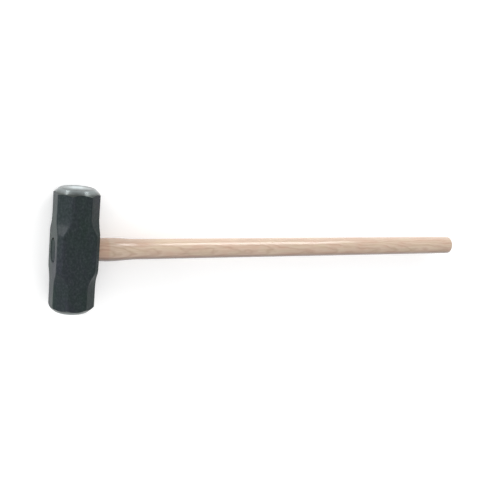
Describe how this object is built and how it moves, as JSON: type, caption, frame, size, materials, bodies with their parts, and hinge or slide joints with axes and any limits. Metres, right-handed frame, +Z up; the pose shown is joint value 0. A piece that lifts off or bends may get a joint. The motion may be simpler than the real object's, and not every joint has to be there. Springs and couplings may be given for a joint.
{
  "type": "double-faced sledgehammer",
  "caption": "Long-handled double-faced sledgehammer: painted forged head with bright crowned faces and a straight round wooden handle wedged in its eye.",
  "frame": {"origin": "on the surface the hammer lies on, under the centre of the head, at the middle of the lower cheek", "axes": "+X along the handle from head to butt, +Y along the head from face to face, +Z up out of the upper cheek"},
  "size_m": [0.9, 0.225, 0.075],
  "materials": {
    "painted_steel": "dark grey-green paint over forged steel",
    "face_steel": "turned bright, with fine round tool marks",
    "hickory": "clear lacquered hickory",
    "wedge_wood": "bare hardwood, painted over at its end",
    "wedge_steel": "bare steel, painted over at its end"
  },
  "bodies": {
    "root": {"head": "painted_steel", "handle": "hickory", "wooden_wedge": "wedge_wood", "steel_wedge_front": "wedge_steel", "steel_wedge_rear": "wedge_steel"}
  },
  "joints": []
}
